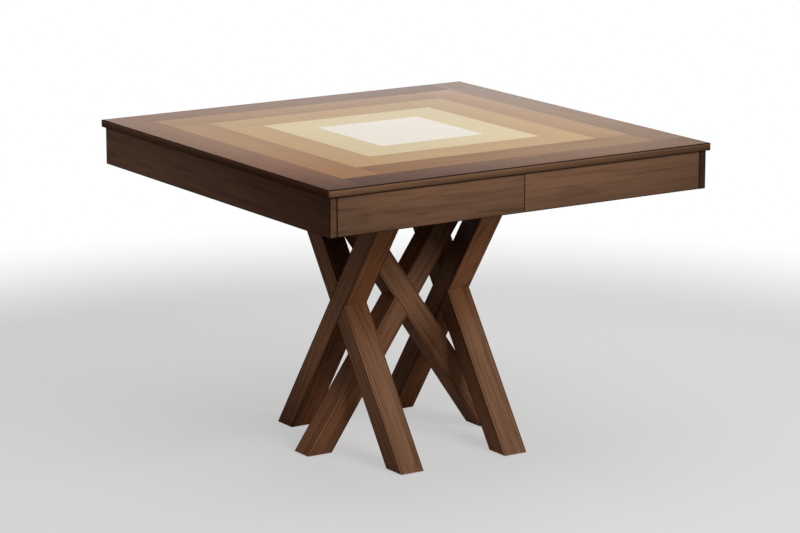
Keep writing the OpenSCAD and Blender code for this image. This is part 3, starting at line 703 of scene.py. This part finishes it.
def metal_material(name, colour, roughness, scratch):
    """Steel with fine brushed scratches along X, and blots in its gloss."""
    material, tree, shader = new_material(name)
    place = parts_of(tree, object_place(tree))
    brush = noise(tree, stretched(tree, *place, *BRUSH_WAVES), 2.0)
    blot = noise(tree, stretched(tree, *place, *BLOT_WAVES), 3.0)
    shade = maths(tree, "MULTIPLY_ADD", brush.outputs[0], *BRUSH_SHADE)
    wire(tree, toned(tree, colour, shade), shader.inputs["Base Color"])
    shader.inputs["Metallic"].default_value = 1.0
    level = maths(tree, "MULTIPLY_ADD", blot.outputs[0], BLOT_ROUGHNESS, roughness)
    wire(tree, level, shader.inputs["Roughness"])
    add_bump(tree, shader, brush.outputs[0], scratch, SCRATCH_DEPTH)
    return material


def nylon_material():
    """Nylon with a faint mottle in its colour and gloss."""
    material, tree, shader = new_material("nylon")
    place = parts_of(tree, object_place(tree))
    mottle = noise(tree, stretched(tree, *place, *MOTTLE_WAVES), 2.0).outputs[0]
    wire(tree, blend_colour(tree, mottle, *NYLON), shader.inputs["Base Color"])
    level = maths(tree, "MULTIPLY_ADD", mottle, *MOTTLE_ROUGHNESS)
    wire(tree, level, shader.inputs["Roughness"])
    return material


def border_finish(along, low, high, tones, spread):
    """Paints light and shade on the upper face of a border along its length, and from its inner to
    its outer side by the spread. The edge of the top has painted light and shade of its own, is
    lightest at its upper side, and has a dark line along the upper rounding."""
    def finish(tree, colour):
        x, y, z = parts_of(tree, object_place(tree))
        outward = maths(tree, "MAXIMUM", maths(tree, "ABSOLUTE", x), maths(tree, "ABSOLUTE", y))
        # Painted light and shade along the border and across it
        upper = tone_along(tree, (x, y)[along], low[along], high[along], tones)
        across = ramp(tree, outward, FRAMES_HALF, TOP_HALF, *spread, False)
        upper = maths(tree, "MULTIPLY", upper, across)
        # Painted light and shade on the edge, lighter towards its upper side
        from_left = tone_along(tree, x, -TOP_HALF, TOP_HALF, LONG_EDGE_TONES)
        from_near = tone_along(tree, y, -TOP_HALF, TOP_HALF, END_EDGE_TONES)
        edge = ramp(tree, facing(tree, 0), *TURNED, from_left, from_near)
        rise = ramp(tree, z, low.z, high.z, *EDGE_RISE_TONES, False)
        edge = maths(tree, "MULTIPLY", edge, rise)
        up = facing(tree, 2)
        colour = toned(tree, near_painted_shade(tree, colour), ramp(tree, up, *TURNED, edge, upper))
        line_start = ramp(tree, up, *ROUNDING_START, 0.0, ROUNDING_DARKNESS)
        line_end = ramp(tree, up, *ROUNDING_END, 1.0, 0.0)
        line = maths(tree, "MULTIPLY", line_start, line_end)
        return blend_colour(tree, line, colour, DARK_LINE)
    return finish


def apron_finish(low, high, foot, head):
    """Painted light and shade from foot to head and painted shade towards the near corner, with a
    dark line along the arrises, fainter at the parting.
    """
    def finish(tree, colour):
        place = object_place(tree)
        x, _, z = parts_of(tree, place)
        colour = toned(tree, colour, ramp(tree, z, low.z, high.z, foot, head, False))
        distance = arris_distance(tree, place, low, high)
        line = ramp(tree, distance, *APRON_LINE_END, APRON_LINE_DARKNESS, 0.0)
        from_parting = ramp(tree, maths(tree, "ABSOLUTE", x), *PARTING_REACH, PARTING_SHARE, 1.0)
        line = maths(tree, "MULTIPLY", line, from_parting)
        return blend_colour(tree, line, near_painted_shade(tree, colour), DARK_LINE)
    return finish


# Materials put on the carried-over nodes
def dress(node, material):
    """Gives a node its material in place of its plain one."""
    nodes[node].data.materials[0] = material


def dress_borders():
    """Each border has its woods, its boards, its direction, its tones of painted light and shade
    and their spread. Front and back borders are cut from one board each, so their grain runs on
    over the parting."""
    borders = {
        "front": (WALNUT, ("left_front_border", "right_front_border"), 0,
                  (0.42, 0.60, 0.89, 1.10, 0.96), (1.12, 0.82)),
        "back": (WALNUT, ("left_back_border", "right_back_border"), 0, (1.20, 1.00, 0.74), (1.0, 1.0)),
        "left": (WALNUT, ("left_end_border",), 1, (0.48, 1.06, 1.24, 1.30), (1.10, 0.82)),
        "right": (GREY_WALNUT, ("right_end_border",), 1, (1.10, 1.28, 1.13, 1.00), (1.0, 1.0)),
    }
    for seed, (side, look) in enumerate(borders.items(), BORDER_SEED):
        woods, boards, along, tones, spread = look
        low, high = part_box(boards[0])[0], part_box(boards[-1])[1]
        material = board_material(
            f"{side}_border_wood", woods, low, high, along, seed, heart=(0.12, 0.05), end_tone=1.0,
            lacquer=TOP_LACQUER, finish=border_finish(along, low, high, tones, spread),
        )
        for node in boards:
            dress(node, material)


def dress_frames():
    """Each nested frame has the boards that lie within it, its woods, the tones of its boards, partly
    their own and partly painted light and shade, how strong its rings and its heartwood are, and
    its painted shade."""
    frames = {
        "outer": (
            "middle_frame_boards", ORANGE_WOOD, (1.01, 0.79, 1.03, 0.91), 0.3, 0.35, front_painted_shade
        ),
        "middle": ("inner_frame_boards", TAN_WOOD, (1.0, 1.0, 0.97, 0.93), 0.25, 0.15, near_painted_shade),
        "inner": ("centre_board", PALE_WOOD, (0.98, 0.98, 0.98, 0.98), 0.2, 0.0, near_painted_shade),
    }
    for number, (ring, (within, woods, *look)) in enumerate(frames.items()):
        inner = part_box(f"right_{within}")[1].x
        seed = FRAME_SEED + FRAME_SEED_STEP * number
        material = frame_material(f"{ring}_frame_wood", woods, inner, seed, *look)
        for half in ("left", "right"):
            dress(f"{half}_{ring}_frame_boards", material)


def dress_centre():
    """The centre square is one board over both halves."""
    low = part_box("left_centre_board")[0]
    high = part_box("right_centre_board")[1]
    centre = board_material(
        "centre_wood", WHITE_WOOD, low, high, 0, CENTRE_SEED, heart=(0.12, 0.2), rings=0.2,
        fibres=0.25, pores=0.0, end_tone=1.0, lacquer=TOP_LACQUER,
    )
    for half in ("left", "right"):
        dress(f"{half}_centre_board", centre)


def dress_apron():
    """Each board has tones of painted light and shade on its wide face from its low to its high end,
    and the tone of its end grain. The front and back boards are painted lighter towards the top,
    and the end boards darker."""
    looks = {
        "left_end": ((0.53, 0.98, 1.47), 1.25),
        "left_front": ((0.80, 0.96, 0.86), 0.6),
        "right_front": ((1.02, 0.93, 0.70), 0.6),
        "right_end": ((0.9, 0.9), 0.28),
        "left_back": ((0.9, 0.9), 0.6),
        "right_back": ((0.9, 0.9), 0.6),
    }
    for seed, (board, (tones, end_tone)) in enumerate(looks.items(), APRON_SEED):
        node = f"{board}_apron"
        low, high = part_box(node)
        # Painted light towards the top of the front and back boards, painted shade under the top on the
        # end boards
        along, foot, head = (1, 1.03, 0.87) if "end" in board else (0, 0.80, 1.17)
        # A board on edge shows its wide face sideways, so its heart lies beside it
        heart = (0.01, -0.12 if "back" in board else 0.12)
        material = board_material(
            node, WALNUT, low, high, along, seed, tones, heart=heart, clouds=0.65, fibres=0.4,
            end_tone=end_tone, finish=apron_finish(low, high, foot, head),
        )
        dress(node, material)


def dress_legs():
    """The legs of the side frames lean along Y, and those of the middle frame along X. Each has
    the tones of painted light and shade on its two kinds of face from foot to head, and the
    redness of its painted shade. The painted shade is darkest on the faces turned in under the
    top, and painted shadows of other legs fall across some faces."""
    left_side = (1.10, 1.20, 1.33, 0.98, 0.68, 0.45, 0.36)
    looks = {
        "left_frame_back_leg": ((1.0, 1.05, 0.6, 1.0, 0.9, 0.62, 0.45), left_side, (1.0, 1.0)),
        "left_frame_front_leg": ((1.0, 1.0, 1.0, 1.0, 0.2, 0.17, 0.15), left_side, (0.0, 0.6)),
        "middle_frame_left_leg": (
            (0.7, 1.2, 0.92, 1.0, 0.38, 0.13, 0.1), (1.25, 1.4, 0.82, 0.8, 0.33, 0.18, 0.15), (0.4, 0.0)
        ),
        "middle_frame_right_leg": (
            (0.55, 0.9, 0.45, 1.1, 0.8, 0.5, 0.3), (0.8, 0.8, 0.72, 0.5, 0.3, 0.2, 0.15), (0.4, 0.0)
        ),
        "right_frame_back_leg": (
            (1.2, 0.93, 0.5, 1.0, 1.0, 0.75, 0.5), (0.68, 0.5, 0.43, 0.6, 0.2, 0.1, 0.1), (1.0, 0.8)
        ),
        "right_frame_front_leg": (
            (1.0, 1.0, 1.0, 1.0, 0.25, 0.2, 0.18), (1.05, 1.0, 0.62, 0.45, 0.25, 0.17, 0.15), (0.0, 0.6)
        ),
    }
    for seed, (node, look) in enumerate(looks.items(), LEG_SEED):
        low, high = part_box(node)
        middle = (low + high) / 2
        if node.startswith("middle"):
            to_right = 1 if "left_leg" in node else -1
            lean = Vector((to_right * LEG_LEAN, 0.0, 1.0))
            flat = Vector((0.0, 1.0, 0.0))
            cross = Vector((0.0, middle.y, CROSS_Z))
            leg_t = high.y - low.y
            woods = MIDDLE_LEG_WALNUT
        else:
            to_back = 1 if "front_leg" in node else -1
            lean = Vector((0.0, to_back * LEG_LEAN, 1.0))
            flat = Vector((1.0, 0.0, 0.0))
            cross = Vector((middle.x, 0.0, CROSS_Z))
            leg_t = high.x - low.x
            woods = LEG_WALNUT
        dress(node, leg_material(node, woods, cross, lean, flat, leg_t, seed, *look))


def dress_hidden_wood():
    """Plain wood for the panels, blocks, rails and cleats, with its grain along their length."""
    ends = ("core_panel", "corner_blocks", "slide_rail", "centre_rail", "cleat")
    hidden = sorted(node for node in nodes if node.endswith(ends))
    for seed, node in enumerate(hidden, HIDDEN_SEED):
        low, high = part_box(node)
        along = 0 if high.x - low.x > high.y - low.y else 1
        material = board_material(
            node, POPLAR, low, high, along, seed, heart=(0.08, 0.04), rings=0.5, clouds=0.4,
            fibres=0.4, gloss=MATT, end_tone=0.8, wander=0.04,
        )
        dress(node, material)


def dress_hardware():
    """Bright steel for racks, shafts and pins, plated steel for screws, bolts and locks, and nylon
    for the pinions and glides."""
    steel = metal_material("brushed_steel", STEEL, 0.28, 0.4)
    zinc = metal_material("plated_steel", ZINC, 0.34, 0.2)
    nylon = nylon_material()
    for node in nodes:
        if node.endswith(("rack", "shafts", "stop_pins", "alignment_pins")):
            dress(node, steel)
        elif node.endswith(("screws", "bolts", "plates", "pivots", "lever", "strikes")):
            dress(node, zinc)
        elif node.endswith(("pinion", "glides")):
            dress(node, nylon)
    # A dark steel that paints shade on the floor of the cross recesses
    recess = metal_material("screw_recess_shade", RECESS_SHADE_STEEL, 0.45, 0.2)
    add_lock_screws(zinc, recess)


# The screws of the locks
def of_kind(parts, kind):
    """Those parts of a mesh that are of one kind."""
    return [part for part in parts if isinstance(part, kind)]


def pan_head():
    """Mesh of a flat screw head that looks down from the plane z = 0. Its second material, a dark
    one, paints shade on the floor of the cross recess."""
    shape = bmesh.new()
    bmesh.ops.create_circle(shape, cap_ends=True, segments=32, radius=SCREW_R - SCREW_RISE)
    for axis in (Vector((1.0, 0.0, 0.0)), Vector((0.0, 1.0, 0.0))):
        for offset in (-RECESS_REACH, -RECESS_HALF, RECESS_HALF, RECESS_REACH):
            everything = shape.verts[:] + shape.edges[:] + shape.faces[:]
            bmesh.ops.bisect_plane(shape, geom=everything, plane_co=axis * offset, plane_no=axis)
    cross = []
    for face in shape.faces:
        middle = face.calc_center_median()
        sides = sorted((abs(middle.x), abs(middle.y)))
        if sides[0] < RECESS_HALF and sides[1] < RECESS_REACH:
            cross.append(face)
    # The extrusion keeps the faces that it starts from, so they are taken out
    sunk = bmesh.ops.extrude_face_region(shape, geom=cross)["geom"]
    bmesh.ops.delete(shape, geom=cross, context="FACES")
    for face in of_kind(sunk, bmesh.types.BMFace):
        face.material_index = 1
    floor = of_kind(sunk, bmesh.types.BMVert)
    bmesh.ops.translate(shape, verts=floor, vec=(0.0, 0.0, RECESS_DEPTH))
    bmesh.ops.translate(shape, verts=shape.verts, vec=(0.0, 0.0, -SCREW_RISE))
    rim = [edge for edge in shape.edges if edge.is_boundary]
    wall = bmesh.ops.extrude_edge_only(shape, edges=rim)["geom"]
    foot = of_kind(wall, bmesh.types.BMVert)
    spread = SCREW_R / (SCREW_R - SCREW_RISE)
    bmesh.ops.scale(shape, verts=foot, vec=(spread, spread, 1.0))
    bmesh.ops.translate(shape, verts=foot, vec=(0.0, 0.0, SCREW_RISE))
    bmesh.ops.bevel(
        shape, geom=rim, offset=SCREW_RISE / 2, segments=2, profile=0.5, affect="EDGES", material=-1
    )
    open_edges = [edge for edge in shape.edges if edge.is_boundary]
    bmesh.ops.holes_fill(shape, edges=open_edges, sides=0)
    bmesh.ops.recalc_face_normals(shape, faces=shape.faces)
    mesh = bpy.data.meshes.new("pan_head")
    shape.to_mesh(mesh)
    shape.free()
    return mesh


def add_lock_screws(head_metal, recess_shade_metal):
    """A screw near each corner of the locks' plates and strikes."""
    head = pan_head()
    plate_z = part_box("lock_plates")[0].z
    for node, body in (("lock_plates", "left_half"), ("lock_strikes", "right_half")):
        low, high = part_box(node)
        shape = bmesh.new()
        for x in (low.x + SCREW_INSET, high.x - SCREW_INSET):
            for y in (high.y - SCREW_INSET, high.y - LOCK_PLATE_L + SCREW_INSET):
                for side in (-1, 1):
                    count = len(shape.verts)
                    shape.from_mesh(head)
                    place = (x, side * y, plate_z)
                    bmesh.ops.translate(shape, verts=shape.verts[count:], vec=place)
        mesh = bpy.data.meshes.new(f"{node}_screws")
        shape.to_mesh(mesh)
        shape.free()
        mesh.materials.append(head_metal)
        mesh.materials.append(recess_shade_metal)
        piece = bpy.data.objects.new(f"{node}_screws", mesh)
        bpy.context.scene.collection.objects.link(piece)
        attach(piece, body)


# Camera, light and floor
def set_camera():
    """The photograph's camera."""
    data = bpy.data.cameras.new("camera")
    data.lens = CAMERA_LENS
    data.sensor_width = CAMERA_SENSOR
    data.clip_end = CAMERA_RANGE
    camera = bpy.data.objects.new("camera", data)
    camera.location = CAMERA_PLACE
    camera.rotation_euler = (math.radians(90 - CAMERA_DOWN), 0.0, math.radians(CAMERA_TURN))
    bpy.context.scene.collection.objects.link(camera)
    bpy.context.scene.camera = camera


def add_lamp(name, place, aim, size, power):
    """A soft white lamp that points at a place and isn't seen itself."""
    lamp = bpy.data.lights.new(name, "AREA")
    lamp.shape = "RECTANGLE"
    lamp.size, lamp.size_y = size
    lamp.energy = power
    holder = bpy.data.objects.new(name, lamp)
    holder.location = place
    holder.rotation_euler = (Vector(aim) - Vector(place)).to_track_quat("-Z", "Y").to_euler()
    holder.visible_camera = False
    bpy.context.scene.collection.objects.link(holder)
    return holder


def set_lamps():
    """Soft light from in front and overhead. The sheen lamp shows only in gloss. The fill lights
    the back and the right end, and stays out of gloss."""
    add_lamp("key", *KEY_LAMP)
    add_lamp("overhead", *OVERHEAD_LAMP)
    sheen = add_lamp("sheen", *SHEEN_LAMP)
    sheen.visible_diffuse = False
    fill = add_lamp("fill", *FILL_LAMP)
    fill.visible_glossy = False


def seen_directly(tree):
    """1 for what the camera sees straight, in a mirror or through glass, and 0 for the light that
    falls on matt surfaces."""
    path = tree.nodes.new("ShaderNodeLightPath").outputs
    seen = maths(tree, "MAXIMUM", path["Is Camera Ray"], path["Is Glossy Ray"])
    return maths(tree, "MAXIMUM", seen, path["Is Transmission Ray"])


def set_world():
    """White behind everything and in reflections, and a softer dome on the wood."""
    world = bpy.data.worlds.new("Studio")
    bpy.context.scene.world = world
    world.use_nodes = True
    tree = world.node_tree
    sky = tree.nodes["Background"]
    sky.inputs["Color"].default_value = (1.0, 1.0, 1.0, 1.0)
    strength = ramp(tree, seen_directly(tree), 0.0, 1.0, DOME_LIGHT, 1.0, False)
    wire(tree, strength, sky.inputs["Strength"])


def mixed_shader(tree, share, first, second):
    """Two shaders mixed by the second one's share."""
    mix = tree.nodes.new("ShaderNodeMixShader")
    for source, target in zip((share, first, second), mix.inputs):
        wire(tree, source, target)
    return mix.outputs[0]


def floor_material():
    """Pale and matt near the table, fading to the white of the backdrop. It is clear from below,
    so that the table can be looked at from under it."""
    material = bpy.data.materials.new("pale_floor")
    material.use_nodes = True
    tree = material.node_tree
    tree.nodes.clear()
    near = tree.nodes.new("ShaderNodeBsdfDiffuse")
    near.inputs["Color"].default_value = FLOOR_COLOUR
    length = tree.nodes.new("ShaderNodeVectorMath")
    length.operation = "LENGTH"
    wire(tree, object_place(tree), length.inputs[0])
    fade = ramp(tree, length.outputs["Value"], *FLOOR_FADE)
    far = tree.nodes.new("ShaderNodeEmission")
    glow = ramp(tree, fade, 0.0, 1.0, FLOOR_GLOW, 1.0, False)
    wire(tree, vector_of(tree, glow, glow, glow), far.inputs["Color"])
    share = ramp(tree, fade, 0.0, 1.0, FLOOR_GLOW_SHARE, 1.0, False)
    share = maths(tree, "MULTIPLY", share, seen_directly(tree))
    above = mixed_shader(tree, share, near.outputs[0], far.outputs[0])
    clear = tree.nodes.new("ShaderNodeBsdfTransparent")
    from_below = tree.nodes.new("ShaderNodeNewGeometry").outputs["Backfacing"]
    sided = mixed_shader(tree, from_below, above, clear.outputs[0])
    out = tree.nodes.new("ShaderNodeOutputMaterial")
    wire(tree, sided, out.inputs["Surface"])
    return material


def set_floor():
    """A wide disc just under the feet."""
    mesh = bpy.data.meshes.new("floor")
    shape = bmesh.new()
    bmesh.ops.create_circle(shape, cap_ends=True, segments=96, radius=FLOOR_R)
    shape.to_mesh(mesh)
    shape.free()
    mesh.materials.append(floor_material())
    floor = bpy.data.objects.new("floor", mesh)
    floor.location.z = -FLOOR_DROP
    bpy.context.scene.collection.objects.link(floor)


set_camera()
set_world()
set_floor()
set_lamps()
dress_borders()
dress_frames()
dress_centre()
dress_apron()
dress_legs()
dress_hidden_wood()
dress_hardware()

bpy.context.scene.view_settings.view_transform = "Standard"
